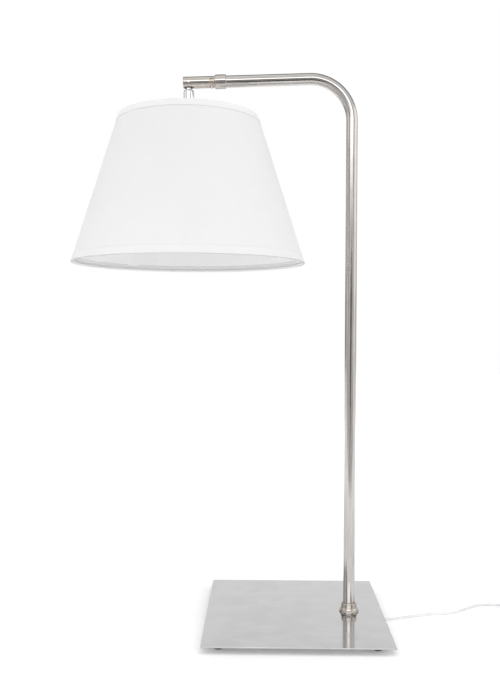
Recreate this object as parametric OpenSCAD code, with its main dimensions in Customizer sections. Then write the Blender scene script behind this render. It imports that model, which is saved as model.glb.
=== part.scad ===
// Pharmacy floor lamp: a square steel plate on rubber feet, a bent tube stem
// with a level arm, a swivel end tube, and a tilting fabric shade hung below it.
// Millimetres, +Z up. Origin: on the floor, under the middle of the lamp's box
// (supply cord not counted).

/* [Base] */
// Side of the square base plate
plate_w = 343; // [300:1:380]
// Thickness of the base plate
plate_t = 2.5; // [2:0.5:4]
// Height of the rubber feet
foot_h = 11.5; // [11.5:0.5:14]
// Diameter of the rubber feet
foot_d = 20; // [16:1:26]
// Distance from the plate's edges to a foot's centre
foot_inset = 30; // [18:1:50]
// Distance from the stem's axis to the plate's right edge
stem_inset = 65; // [50:1:90]

/* [Stem and arm] */
// Outside diameter of the stem and arm tube
tube_d = 22.2; // [21:0.1:23]
// Wall of the stem and arm tube
tube_wall = 1.2; // [1:0.1:1.5]
// Height above the floor where the stem's and the arm's axes cross
arm_z = 1049; // [800:1:1300]
// Bend radius of the tube, on its centreline
bend_r = 80; // [60:1:110]
// Droop of the arm below level, in degrees
arm_droop = 1.5; // [0:0.5:3]
// Length of the arm tube, from the stem's axis to its free end
arm_len = 263.5; // [240:0.5:300]
// Diameter of the ring collar on the arm's free end
collar_d = 26.8; // [25:0.1:30]
// Length of the ring collar
collar_len = 21.5; // [14:0.5:30]

/* [Swivel] */
// Length of the end tube
end_len = 59.2; // [58:0.1:66]
// Width of the stop slot around the end tube
slot_w = 9.4; // [8.6:0.2:10]
// Half angle of the stop slot, from its middle to the centre of its round end
slot_half = 93; // [50:1:110]
// Distance from the arm tube's free end to the shade's pivot
pivot_out = 50.5; // [50:0.1:52]
// Diameter of the pivot pin
pivot_d = 4; // [3:0.5:5]
// Length of the notch under the end tube
notch_l = 14.5; // [13:0.5:15]
// Width of the notch under the end tube
notch_w = 8; // [7.6:0.2:9]

/* [Neck] */
// Diameter of the neck cup
cup_d = 21; // [18:0.2:24]
// Height of the neck cup
cup_h = 24; // [18:1:30]
// Diameter of the sleeve below the cup
sleeve_d = 12.8; // [11.6:0.2:16]

/* [Shade] */
// Diameter of the shade at its top
shade_top_d = 271; // [230:1:290]
// Diameter of the shade at its bottom
shade_bottom_d = 449; // [400:1:470]
// Height of the shade
shade_h = 279; // [250:1:300]
// Drop from the pivot to the shade's top edge
shade_drop = 69; // [60:1:76]
// Height of the trim band at the top
trim_top_h = 13.5; // [8:0.5:18]
// Height of the trim band at the bottom
trim_bottom_h = 15.5; // [8:0.5:20]

/* [Lampholder and bulb] */
// Diameter of the lampholder's shell
socket_d = 34; // [33:0.5:38]
// Largest diameter of the bulb
bulb_d = 60; // [54:1:64]
// Length of the bulb below the lampholder
bulb_l = 92; // [84:1:98]

/* [Supply cord] */
// Diameter of the supply cord
cord_d = 4.4; // [4.2:0.1:4.6]

/* [Hidden] */

tube_r = tube_d / 2;
bore_r = tube_r - tube_wall;
plate_top = foot_h + plate_t;
pivot_t = arm_len + pivot_out;                  // pivot's distance along the arm
reach = pivot_t * cos(arm_droop);               // stem axis to shade axis, level
shade_rt = shade_top_d / 2;
shade_rb = shade_bottom_d / 2;
stem_x = (reach + shade_rb - stem_inset) / 2;   // puts the origin under the box's middle
plate_x = stem_x + stem_inset - plate_w / 2;
pivot_x = stem_x - reach;
pivot_z = arm_z - pivot_t * sin(arm_droop);
turn = 90 + arm_droop;                          // angle of the tube's bend
tangent = bend_r * tan(turn / 2);
end_gap = 0.5;                                  // arm tube to end tube
end_t0 = arm_len + end_gap;                     // end tube's start along the arm
end_t1 = end_t0 + end_len;                      // end tube's end along the arm
slot_t = end_t0 + 0.9 + slot_w / 2;             // stop slot's middle along the arm
swivel_clear = 0.05;
slope = (shade_rb - shade_rt) / shade_h;
spider_z = -shade_drop - 11;                    // spider hub, below the pivot
ring_wire = 1.5;
socket_r = socket_d / 2;
cap_z = spider_z - 1.6;                         // top of the lampholder
socket_z = cap_z - 12;                          // top of its shell
mouth_z = socket_z - 50;                        // its mouth
switch_z = socket_z - 15;
coil_x = 585;
coil_y = 37;
coil_r = 26;
coil_z0 = 0.6;
coil_h = 13.1;
coil_w = 13.4;
elbow_turn = -15;
elbow_reach = 34;
elbow_z = 3.2;

$fn = 64;

// ---------- placing ----------
// Arm frame: the arm runs along -X from the stem's axis.
module arm_place() translate([stem_x, 0, arm_z]) rotate([0, -arm_droop, 0]) children();
// Head frame: upright, with its origin at the pivot.
module head_place() translate([pivot_x, 0, pivot_z]) children();
// A cylinder along the arm, from t0 to t1.
module along(t0, t1, r) translate([-t1, 0, 0]) rotate([0, 90, 0]) cylinder(r = r, h = t1 - t0);
module feet_places() for (i = [-1, 1], j = [-1, 1])
  translate([plate_x + i * (plate_w / 2 - foot_inset), j * (plate_w / 2 - foot_inset), 0]) children();

// ---------- base ----------
module base_plate() color("silver") difference() {
  translate([plate_x - plate_w / 2, -plate_w / 2, foot_h]) cube([plate_w, plate_w, plate_t]);
  translate([stem_x, 0, foot_h - 1]) cylinder(r = 5.1, h = plate_t + 2);
  feet_places() translate([0, 0, foot_h - 1]) cylinder(r = 2, h = 1 + plate_t * 0.6);
}
module plate_feet() color("dimgray") feet_places() difference() {
  rotate_extrude() polygon([[0, 0], [foot_d / 2 - 1.2, 0], [foot_d / 2 - 0.2, 1],
    [foot_d / 2, 2], [foot_d / 2, foot_h], [0, foot_h]]);
  translate([0, 0, -1]) cylinder(r = 4.4, h = 5.5);
  cylinder(r = 2.1, h = foot_h + 1);
}
module foot_screws() color("lightgray") feet_places() {
  translate([0, 0, 2.1]) difference() {
    cylinder(r = 4, h = 2.4);
    translate([-3, -0.5, -1]) cube([6, 1, 2]);
    translate([-0.5, -3, -1]) cube([1, 6, 2]);
  }
  translate([0, 0, 4.5]) cylinder(r = 1.95, h = foot_h + plate_t * 0.5 - 4.5);
}

// ---------- stem ----------
module stem_flange() color("silver") translate([stem_x, 0, plate_top]) rotate_extrude() difference() {
  polygon([[tube_r, 0], [19, 0], [19, 2.2], [18.4, 3], [17.2, 4.1], [16.2, 5.6], [15.6, 7.2],
    [15.3, 8.6], [14.6, 9.2], [14.6, 16.6], [14, 17.6], [13, 18], [tube_r, 18]]);
  translate([15.6, 9]) circle(r = 0.5, $fn = 24);
}
module stem_insert() color("darkgray") translate([stem_x, 0, plate_top]) rotate_extrude()
  polygon([[5, 0], [bore_r, 0], [bore_r, 24], [5, 24]]);
module mount_nipple() color("tan") translate([stem_x, 0, 6.6]) rotate_extrude()
  polygon([[3.4, 0], [4.5, 0], [5, 0.5], [5, plate_top + 13], [4.5, plate_top + 13.5], [3.4, plate_top + 13.5]]);
module mount_washer() color("lightgray") translate([stem_x, 0, foot_h - 1.2]) difference() {
  cylinder(r = 13, h = 1.2);
  translate([0, 0, -1]) cylinder(r = 5.1, h = 4);
}
module mount_nut() color("lightgray") translate([stem_x, 0, foot_h - 4.9]) difference() {
  cylinder(r = 9.2, h = 3.7, $fn = 6);
  translate([0, 0, -1]) cylinder(r = 5, h = 6);
}
// upright and bend
module stem_tube() color("silver") {
  translate([stem_x, 0, plate_top]) difference() {
    cylinder(r = tube_r, h = arm_z - tangent - plate_top);
    translate([0, 0, -1]) cylinder(r = bore_r, h = arm_z - tangent - plate_top + 2);
  }
  translate([stem_x - bend_r, 0, arm_z - tangent]) rotate([90, 0, 0])
    rotate_extrude(angle = turn, $fn = 96) translate([bend_r, 0]) difference() {
      circle(r = tube_r);
      circle(r = bore_r);
    }
}
// straight arm, brazed to the bend with a seam polished flush
module arm_tube() color("silver") arm_place() difference() {
  along(tangent, arm_len, tube_r);
  along(tangent - 1, arm_len + 1, bore_r);
}
module arm_collar() color("silver") arm_place() difference() {
  translate([-arm_len, 0, 0]) rotate([0, 90, 0]) rotate_extrude()
    polygon([[tube_r, 0], [collar_d / 2 - 0.9, 0], [collar_d / 2 - 0.25, 0.3], [collar_d / 2, 1],
      [collar_d / 2, collar_len - 1.4], [collar_d / 2 - 0.4, collar_len - 0.5],
      [collar_d / 2 - 1.3, collar_len], [tube_r, collar_len]]);
  translate([-arm_len + collar_len / 2, 0, 0]) cylinder(r = 2, h = 20);
}
module collar_screw() color("dimgray") arm_place() translate([-arm_len + collar_len / 2, 0, 0]) difference() {
  translate([0, 0, tube_r + 0.1]) cylinder(r = 1.95, h = collar_d / 2 - tube_r - 0.4);
  translate([0, 0, collar_d / 2 - 1.4]) cylinder(r = 1.05, h = 2, $fn = 6);
}
module swivel_core() color("silver") arm_place() difference() {
  along(arm_len - 26, arm_len + 27, bore_r);
  along(arm_len - 30, arm_len + 30, 5);
  translate([-slot_t, 0, -12]) cylinder(r = 2.05, h = 10);
  translate([-slot_t, 0, -12]) cylinder(r = slot_w / 2 - 0.25, h = 3.5);
}
module stop_screw() color("gray") arm_place() translate([-slot_t, 0, 0]) difference() {
  union() {
    translate([0, 0, -tube_r + 0.2]) cylinder(r = slot_w / 2 - 0.3, h = 2.2);
    translate([0, 0, -tube_r + 2.2]) cylinder(r = 2, h = 3.6);
  }
  translate([-5, -0.5, -tube_r - 1]) cube([10, 1, 2]);
}

// ---------- end tube ----------
module end_tube() color("silver") arm_place() difference() {
  along(end_t0, end_t1, tube_r);
  along(end_t0 - 1, end_t1 + 1, bore_r + swivel_clear);
  // stop slot: half way round, about the underside, with round ends
  translate([-slot_t, 0, 0]) rotate([0, 90, 0]) {
    rotate([0, 0, -slot_half]) rotate_extrude(angle = 2 * slot_half)
      translate([bore_r - 2, -slot_w / 2]) square([6, slot_w]);
    for (s = [-1, 1]) rotate([0, 0, s * slot_half]) rotate([0, 90, 0])
      translate([0, 0, bore_r - 2]) cylinder(r = slot_w / 2, h = 6);
  }
  // notch under the pivot
  translate([-pivot_t - notch_l / 2, -notch_w / 2, -tube_r - 1]) cube([notch_l, notch_w, 6]);
  translate([-pivot_t, 0, 0]) rotate([90, 0, 0]) cylinder(r = pivot_d / 2, h = 40, center = true);
}
module end_cap() color("silver") arm_place() {
  translate([-end_t1, 0, 0]) rotate([0, -90, 0]) rotate_extrude()
    polygon([[0, 0], [tube_r, 0], [tube_r, 0.8], [tube_r - 0.3, 1.3], [tube_r - 1, 1.6], [0, 1.6]]);
  along(end_t1 - 0.8, end_t1 + 0.1, bore_r + swivel_clear);
}
module pivot_pin() color("gainsboro") arm_place() translate([-pivot_t, 0, 0])
  rotate([90, 0, 0]) cylinder(r = pivot_d / 2, h = 2 * tube_r - 0.7, center = true);

// ---------- neck ----------
cup_top = -tube_r - 2.9;
cup_low = cup_top - cup_h;
module neck_knuckle() color("darkgray") head_place() difference() {
  union() {
    rotate([90, 0, 0]) cylinder(r = 5.5, h = 7, center = true);
    translate([-3.6, -3.5, cup_top - 3]) cube([7.2, 7, -cup_top + 3]);
    translate([0, 0, cup_top - 10]) cylinder(r = 7.6, h = 8.2);
  }
  rotate([90, 0, 0]) cylinder(r = pivot_d / 2 + 0.05, h = 20, center = true);
  translate([0, 0, cup_top - 11]) cylinder(r = 4.8, h = 7);
}
module neck_cup() color("silver") head_place() rotate_extrude() difference() {
  union() {
    translate([0, cup_low]) square([cup_d / 2, cup_h - 5]);
    translate([0, cup_top - 5]) square([cup_d / 2 - 5, 5]);
    translate([cup_d / 2 - 5, cup_top - 5]) circle(r = 5, $fn = 64);
  }
  translate([0, cup_low - 1]) square([5.3, cup_h + 2]);
  translate([0, cup_low - 1]) square([cup_d / 2 - 1.4, cup_h - 5]);
  translate([0, cup_low - 1]) square([7.8, cup_h - 0.6]);
}
module neck_washer() color("silver") head_place() translate([0, 0, cup_low - 1.5]) rotate_extrude()
  polygon([[4.85, 0], [cup_d / 2 - 0.2, 0], [cup_d / 2 + 0.2, 0.4], [cup_d / 2 + 0.2, 1.1], [cup_d / 2 - 0.2, 1.5], [4.85, 1.5]]);
module neck_nipple() color("tan") head_place() difference() {
  translate([0, 0, cap_z - 6]) cylinder(r = 4.8, h = cup_top - 5 - cap_z + 6);
  translate([0, 0, cap_z - 8]) cylinder(r = 3.2, h = 80);
}
module neck_sleeve() color("silver") head_place() translate([0, 0, spider_z]) rotate_extrude()
  polygon([[4.85, 0], [sleeve_d / 2, 0], [sleeve_d / 2, cup_low - 1.5 - spider_z], [4.85, cup_low - 1.5 - spider_z]]);
module head_lead() color("white") head_place()
  translate([0, 0, cap_z - 14]) cylinder(r = 2.6, h = cup_top - 5 - cap_z + 14, $fn = 24);

// ---------- shade ----------
top_ring_r = shade_rt - 3.4;
spider_rise = -shade_drop - 2.3 - (spider_z + 0.2);
module shade_spider() color("white") head_place() {
  difference() {
    translate([0, 0, spider_z - 1.6]) cylinder(r = 12.5, h = 1.6);
    translate([0, 0, spider_z - 3]) cylinder(r = 4.9, h = 5);
  }
  translate([0, 0, -shade_drop - 2]) rotate_extrude() translate([top_ring_r, 0]) circle(r = ring_wire, $fn = 24);
  for (a = [0, 120, 240]) rotate([0, 0, a]) translate([10, 0, spider_z + 0.2])
    rotate([0, 90 - atan2(spider_rise, top_ring_r - 10), 0])
      cylinder(r = 1.4, h = norm([top_ring_r - 10, spider_rise]), $fn = 24);
}
module shade_bottom_ring() color("white") head_place()
  translate([0, 0, -shade_drop - shade_h + 2]) rotate_extrude()
    translate([shade_rb - 2 * slope - 3.55, 0]) circle(r = ring_wire, $fn = 24);
module cone_band(z0, z1, inner, outer) rotate_extrude($fn = 96) polygon([
  [shade_rt - slope * (z0 + shade_drop) - inner, z0], [shade_rt - slope * (z0 + shade_drop) - outer, z0],
  [shade_rt - slope * (z1 + shade_drop) - outer, z1], [shade_rt - slope * (z1 + shade_drop) - inner, z1]]);
module shade_fabric() color("white") head_place()
  cone_band(-shade_drop - shade_h, -shade_drop, 1.3, 0.5);
module shade_liner() color("white") head_place()
  cone_band(-shade_drop - shade_h, -shade_drop, 1.9, 1.3);
module shade_top_trim() color("white") head_place()
  cone_band(-shade_drop - trim_top_h, -shade_drop, 0.5, 0);
module shade_bottom_trim() color("white") head_place()
  cone_band(-shade_drop - shade_h, -shade_drop - shade_h + trim_bottom_h, 0.5, 0);

// ---------- lampholder ----------
module socket_cap() color("gold") head_place() rotate_extrude() polygon([
  [4.85, cap_z], [13, cap_z], [15.4, cap_z - 1.4], [socket_r - 0.4, cap_z - 4.4], [socket_r, cap_z - 8], [socket_r, socket_z],
  [socket_r - 0.8, socket_z], [socket_r - 0.8, cap_z - 8], [socket_r - 1.3, cap_z - 4.8], [14.8, cap_z - 2.2], [12.8, cap_z - 1], [4.85, cap_z - 1]]);
module nipple_nut() color("lightgray") head_place() translate([0, 0, cap_z - 4.6]) difference() {
  cylinder(r = 8, h = 3.6, $fn = 6);
  translate([0, 0, -1]) cylinder(r = 4.8, h = 6);
}
module side_hole(r) translate([0, 0, switch_z]) rotate([0, 90, 0]) cylinder(r = r, h = 40);
module socket_shell() color("gold") head_place() difference() {
  rotate_extrude() polygon([
    [socket_r - 0.6, socket_z], [socket_r, socket_z], [socket_r, mouth_z + 3], [socket_r + 0.6, mouth_z + 2],
    [socket_r + 0.6, mouth_z], [socket_r - 0.6, mouth_z]]);
  side_hole(2.2);
}
module socket_sleeve() color("tan") head_place() difference() {
  translate([0, 0, mouth_z + 0.5]) cylinder(r = socket_r - 0.6, h = socket_z - mouth_z - 0.5);
  translate([0, 0, mouth_z - 1]) cylinder(r = socket_r - 1.4, h = 80);
  side_hole(2.2);
}
module socket_body() color("ivory") head_place() difference() {
  translate([0, 0, socket_z - 25]) cylinder(r = socket_r - 1.5, h = 24);
  side_hole(1.56);
  for (s = [-1, 1]) translate([0, s * 11, socket_z - 26]) cylinder(r = 1.6, h = 30);
  translate([0, 0, socket_z - 5]) cylinder(r = 3, h = 10);
}
module screw_shell() color("gold") head_place() difference() {
  translate([0, 0, mouth_z + 1]) cylinder(r = 14, h = socket_z - 25 - mouth_z - 1);
  translate([0, 0, mouth_z - 1]) cylinder(r = 13.5, h = socket_z - 25.6 - mouth_z + 1);
  translate([0, 0, socket_z - 30]) cylinder(r = 6, h = 10);
}
module centre_contact() color("gold") head_place() translate([0, 0, socket_z - 26.6]) cylinder(r = 3, h = 1.6, $fn = 32);
module terminal_screws() color("gold") head_place() for (s = [-1, 1])
  translate([0, s * 11, socket_z - 7]) {
    cylinder(r = 1.55, h = 6, $fn = 24);
    translate([0, 0, 6]) difference() {
      cylinder(r = 3, h = 1.8, $fn = 32);
      translate([-4, -0.4, 1]) cube([8, 0.8, 2]);
    }
  }
module switch_shaft() color("gold") head_place() translate([8, 0, switch_z])
  rotate([0, 90, 0]) cylinder(r = 1.5, h = 21, $fn = 32);
module switch_knob() color("dimgray") head_place() translate([24, 0, switch_z]) rotate([0, 90, 0]) difference() {
  rotate_extrude() polygon([[1.5, 0], [5.4, 0], [6, 1.6], [6, 13.2], [5.2, 14], [0, 14], [0, 5], [1.5, 5]]);
  for (i = [0:9]) rotate([0, 0, i * 36]) translate([6.5, 0, 2.5]) cylinder(r = 0.9, h = 14, $fn = 16);
}

// ---------- bulb ----------
glass_z = mouth_z - 1;
module bulb_cap() color("silver") head_place() rotate_extrude() polygon([
  [0, glass_z], [13.4, glass_z], [13.3, glass_z + 2], [13, glass_z + 3], [13, glass_z + 20], [9, glass_z + 22.2], [4, glass_z + 22.8], [0, glass_z + 22.8]]);
module bulb_tip() color("silver") head_place() translate([0, 0, glass_z + 22.8]) cylinder(r1 = 4, r2 = 2.6, h = 1.4, $fn = 32);
bulb_c = glass_z - bulb_l + bulb_d / 2;
function bulb_side(w) = concat([[13.2 - w, glass_z], [13.6 - w, glass_z - 4], [14.8 - w, glass_z - 12], [17.2 - w, glass_z - 21], [20.6 - w, glass_z - 31]],
  [for (a = [40:-10:-80]) [(bulb_d / 2 - w) * cos(a), bulb_c + (bulb_d / 2 - w) * sin(a)]], [[0, bulb_c - bulb_d / 2 + w]]);
function backward(p) = [for (i = [len(p) - 1:-1:0]) p[i]];
module bulb_glass() color("whitesmoke") head_place() rotate_extrude()
  polygon(concat(bulb_side(0), backward(bulb_side(0.9))));

// ---------- supply cord ----------
function cr(p0, p1, p2, p3, t) = 0.5 * (2 * p1 + (p2 - p0) * t + (2 * p0 - 5 * p1 + 4 * p2 - p3) * t * t
  + (3 * p1 - p0 - 3 * p2 + p3) * t * t * t);
function smooth(p, n) = concat([for (i = [0:len(p) - 2], k = [0:n - 1])
  cr(p[max(i - 1, 0)], p[i], p[i + 1], p[min(i + 2, len(p) - 1)], k / n)], [p[len(p) - 1]]);
function unit(v) = v / norm(v);
function heading(p, i) = unit(p[min(i + 1, len(p) - 1)] - p[max(i - 1, 0)]);
module swept(p, r, sides, across) {
  n = len(p);
  rings = [for (i = [0:n - 1]) let (
      t = heading(p, i),
      s = unit(cross(is_undef(across) ? [0, 0, 1] : across, t)),
      u = cross(t, s))
    for (k = [0:sides - 1]) p[i] + r * (cos(k * 360 / sides) * s + sin(k * 360 / sides) * u)];
  polyhedron(points = rings, faces = concat(
    [[for (k = [0:sides - 1]) k]],
    [for (i = [0:n - 2], k = [0:sides - 1]) let (a = i * sides + k, b = i * sides + (k + 1) % sides)
      [a, a + sides, b + sides, b]],
    [[for (k = [0:sides - 1]) (n - 1) * sides + sides - 1 - k]]), convexity = 8);
}
// lead inside the arm, the bend and the stem, down to the elbow under the plate
lead_path = concat([[stem_x, 0, 6]],
  [for (a = [0:turn / 12:turn + 0.1]) [stem_x - bend_r + bend_r * cos(a), 0, arm_z - tangent + bend_r * sin(a)]],
  [[stem_x - (arm_len + 26) * cos(arm_droop), 0, arm_z - (arm_len + 26) * sin(arm_droop)]]);
module stem_lead() color("white") swept(lead_path, 2.2, 12, [0, 1, 0]);
elbow_end = [stem_x + elbow_reach * cos(elbow_turn), elbow_reach * sin(elbow_turn), elbow_z];
module cord_elbow() color("white") translate([stem_x, 0, 0]) rotate([0, 0, elbow_turn]) {
  translate([0, 0, 0.8]) cylinder(r = 8, h = 5.2);
  translate([0, 0, elbow_z]) rotate([0, 90, 0]) cylinder(r = 2.8, h = 22, $fn = 48);
  translate([22, 0, elbow_z]) rotate([0, 90, 0]) cylinder(r1 = 2.8, r2 = 2.4, h = elbow_reach - 22, $fn = 48);
}
cord_pts = [elbow_end, [281, -11.5, 2.6], [304, -12.6, 2.2], [320, -9.5, 2.2], [337, -4, 2.2], [354, 2, 2.2],
  [371, 7, 2.2], [389, 12.5, 2.2], [406, 16.5, 2.2], [425, 18.5, 2.2], [442, 22.5, 2.2],
  [459, 31, 2.2], [477, 44, 2.2], [494, 57, 2.2], [510, 65, 2.2], [528, 68.5, 2.2], [547, 68, 2.3],
  [560, 67.6, 2.6], [573, 67.5, 2.8]];
module supply_cord() color("white") swept(smooth(cord_pts, 2), cord_d / 2, 10);
module cord_coil() color("white") translate([coil_x, coil_y, coil_z0]) rotate_extrude()
  polygon([[coil_r - coil_w / 2, 2], [coil_r - coil_w / 2 + 2, 0], [coil_r + coil_w / 2 - 2, 0], [coil_r + coil_w / 2, 2],
    [coil_r + coil_w / 2, coil_h - 2], [coil_r + coil_w / 2 - 2, coil_h], [coil_r - coil_w / 2 + 2, coil_h], [coil_r - coil_w / 2, coil_h - 2]]);
module coil_tie() color("black") translate([coil_x, coil_y - coil_r, 0]) difference() {
  translate([-4, -coil_w / 2 - 1, 0]) cube([8, coil_w + 2, coil_h + 1.2]);
  translate([-5, -coil_w / 2 - 0.35, 0.55]) cube([10, coil_w + 0.7, coil_h + 0.1]);
}
plug_y = coil_y + coil_r - 1;
plug_x = coil_x - 2;
plug_z = coil_z0 + coil_h + 6.3;
tail_pts = [[560.2, 41, 15.6], [560.9, 47, 16.9], [563.4, 53.5, 18.2], [567.4, 58.6, plug_z - 0.5], [572.6, plug_y - 0.6, plug_z], [577.5, plug_y, plug_z]];
module cord_tail() color("white") swept(smooth(tail_pts, 2), cord_d / 2, 10);
module plug_body() color("white") translate([plug_x, plug_y, plug_z]) {
  translate([-6, 0, 0]) rotate([0, 90, 0]) cylinder(r1 = 2.8, r2 = 4.6, h = 8, $fn = 32);
  hull() for (s = [-1, 1]) {
    translate([1, s * 3.6, 0]) rotate([0, 90, 0]) cylinder(r = 4.4, h = 1, $fn = 32);
    translate([10, s * 4.9, 0]) rotate([0, 90, 0]) cylinder(r = 6.2, h = 15, $fn = 32);
  }
}
module plug_blades() color("gold") for (s = [-1, 1])
  translate([plug_x + 20, plug_y + s * 6.35 - 0.75, plug_z - 3.15]) cube([22, 1.5, 6.3]);

base_plate();
plate_feet();
foot_screws();
stem_flange();
stem_insert();
mount_nipple();
mount_washer();
mount_nut();
stem_tube();
arm_tube();
arm_collar();
collar_screw();
swivel_core();
stop_screw();
stem_lead();
cord_elbow();
end_tube();
end_cap();
pivot_pin();
neck_knuckle();
neck_cup();
neck_washer();
neck_nipple();
neck_sleeve();
head_lead();
shade_spider();
shade_bottom_ring();
shade_fabric();
shade_liner();
shade_top_trim();
shade_bottom_trim();
socket_cap();
nipple_nut();
socket_shell();
socket_sleeve();
socket_body();
screw_shell();
centre_contact();
terminal_screws();
switch_shaft();
switch_knob();
bulb_cap();
bulb_tip();
bulb_glass();
supply_cord();
cord_coil();
coil_tie();
cord_tail();
plug_body();
plug_blades();
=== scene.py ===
import math

import bmesh
import bpy
from mathutils import Matrix, Vector


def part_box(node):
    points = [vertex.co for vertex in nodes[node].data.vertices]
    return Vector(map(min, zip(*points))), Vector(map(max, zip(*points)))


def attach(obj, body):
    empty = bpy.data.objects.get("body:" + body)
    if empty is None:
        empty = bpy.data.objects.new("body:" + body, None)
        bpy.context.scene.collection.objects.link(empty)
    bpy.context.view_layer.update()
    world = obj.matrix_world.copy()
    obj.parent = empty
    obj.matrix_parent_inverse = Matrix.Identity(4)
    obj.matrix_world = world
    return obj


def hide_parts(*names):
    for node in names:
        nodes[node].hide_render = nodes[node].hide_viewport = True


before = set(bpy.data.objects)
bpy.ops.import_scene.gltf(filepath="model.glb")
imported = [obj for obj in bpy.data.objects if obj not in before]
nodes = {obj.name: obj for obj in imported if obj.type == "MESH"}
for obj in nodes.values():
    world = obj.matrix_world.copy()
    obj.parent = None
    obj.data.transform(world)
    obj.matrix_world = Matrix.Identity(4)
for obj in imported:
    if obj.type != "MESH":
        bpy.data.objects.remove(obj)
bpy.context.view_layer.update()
scene = bpy.context.scene
scene.view_settings.view_transform = "Standard"
MM = 0.001

# ---------------------------------------------------------------- places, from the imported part
plate_low, plate_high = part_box("base_plate")
flange_low, flange_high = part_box("stem_flange")
fabric_low, fabric_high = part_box("shade_fabric")
cup_low, cup_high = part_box("neck_cup")
STEM_X = (flange_low.x + flange_high.x) / 2
PLATE_TOP = plate_high.z
SHADE_X = (fabric_low.x + fabric_high.x) / 2
SHADE_TOP = fabric_high.z
SHADE_LOW = fabric_low.z
PIVOT_Z = SHADE_TOP + 69 * MM
ARM_Z = 1049 * MM
DROOP = math.radians(1.5)
TUBE_R = 11.1 * MM
BEND_R = 80 * MM
ARM_END = 263.5 * MM
TOP_R, LOW_R = 135.5 * MM, 224.5 * MM
SLOPE = (LOW_R - TOP_R) / (SHADE_TOP - SHADE_LOW)
COIL = Vector((585, 37, 0))
ARM_FRAME = Matrix.Translation((STEM_X, 0, ARM_Z)) @ Matrix.Rotation(-DROOP, 4, "Y")
# +Z of this frame runs out along the arm
ALONG = ARM_FRAME @ Matrix.Rotation(-math.pi / 2, 4, "Y")

# ---------------------------------------------------------------- camera
cam_data = bpy.data.cameras.new("camera")
cam = bpy.data.objects.new("camera", cam_data)
scene.collection.objects.link(cam)
scene.camera = cam
yaw, pitch, roll = -0.0180, -0.0346, -0.0020
forward = Vector((math.sin(yaw) * math.cos(pitch), math.cos(yaw) * math.cos(pitch), math.sin(pitch)))
right = Vector((math.cos(yaw), -math.sin(yaw), 0))
down = forward.cross(right)
right, down = right * math.cos(roll) + down * math.sin(roll), down * math.cos(roll) - right * math.sin(roll)
cam.matrix_world = Matrix.Translation((STEM_X - 0.1690, -1.4525, 0.5764)) @ Matrix(
    (
        (right.x, -down.x, -forward.x, 0),
        (right.y, -down.y, -forward.y, 0),
        (right.z, -down.z, -forward.z, 0),
        (0, 0, 0, 1),
    )
)
cam_data.lens = 38.393
cam_data.sensor_width = 36
cam_data.clip_start, cam_data.clip_end = 0.05, 60


# ---------------------------------------------------------------- node helpers
class Nodes:
    """A material's node tree, with short calls for the nodes used here."""

    def __init__(self, name):
        self.material = bpy.data.materials.new(name)
        self.material.use_nodes = True
        self.tree = self.material.node_tree
        self.tree.nodes.clear()
        self.out = self.tree.nodes.new("ShaderNodeOutputMaterial")
        self.bsdf = self.tree.nodes.new("ShaderNodeBsdfPrincipled")
        self.tree.links.new(self.bsdf.outputs[0], self.out.inputs["Surface"])

    def put(self, node, **sockets):
        for name, value in sockets.items():
            socket = node.inputs[name.replace("_", " ")]
            if isinstance(value, bpy.types.NodeSocket):
                self.tree.links.new(value, socket)
            else:
                socket.default_value = value
        return node

    def place(self, scale, kind="Object", turn=(0, 0, 0)):
        """Coordinates in units of 1 / scale."""
        if kind == "UV":
            where = self.tree.nodes.new("ShaderNodeUVMap")
            where.uv_map = "surface"
            source = where.outputs[0]
        else:
            source = self.tree.nodes.new("ShaderNodeTexCoord").outputs[kind]
        mapping = self.tree.nodes.new("ShaderNodeMapping")
        self.tree.links.new(source, mapping.inputs["Vector"])
        mapping.inputs["Scale"].default_value = scale
        mapping.inputs["Rotation"].default_value = turn
        return mapping.outputs[0]

    def noise(self, where, scale=1.0, detail=4.0, rough=0.55, twist=0.0):
        n = self.tree.nodes.new("ShaderNodeTexNoise")
        self.put(n, Vector=where, Scale=scale, Detail=detail, Roughness=rough, Distortion=twist)
        return n.outputs["Fac"]

    def ramp(self, value, low, high, to_low, to_high):
        n = self.tree.nodes.new("ShaderNodeMapRange")
        n.interpolation_type = "SMOOTHSTEP"
        for i, v in enumerate((value, low, high, to_low, to_high)):
            if isinstance(v, bpy.types.NodeSocket):
                self.tree.links.new(v, n.inputs[i])
            else:
                n.inputs[i].default_value = v
        return n.outputs[0]

    def math(self, kind, a, b=0.0):
        n = self.tree.nodes.new("ShaderNodeMath")
        n.operation = kind
        for i, v in enumerate((a, b)):
            if isinstance(v, bpy.types.NodeSocket):
                self.tree.links.new(v, n.inputs[i])
            else:
                n.inputs[i].default_value = v
        return n.outputs[0]

    def mix(self, share, a, b):
        n = self.tree.nodes.new("ShaderNodeMix")
        n.data_type = "RGBA"
        for i, v in ((0, share), (6, a), (7, b)):
            if isinstance(v, bpy.types.NodeSocket):
                self.tree.links.new(v, n.inputs[i])
            elif i:
                n.inputs[i].default_value = (*v, 1)
            else:
                n.inputs[i].default_value = v
        return n.outputs[2]

    def bump(self, height, strength, distance, under=None):
        n = self.tree.nodes.new("ShaderNodeBump")
        self.put(n, Height=height, Strength=strength, Distance=distance)
        if under is not None:
            self.tree.links.new(under, n.inputs["Normal"])
        return n.outputs[0]

    def finish(self, **sockets):
        self.put(self.bsdf, **sockets)
        return self.material


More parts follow.
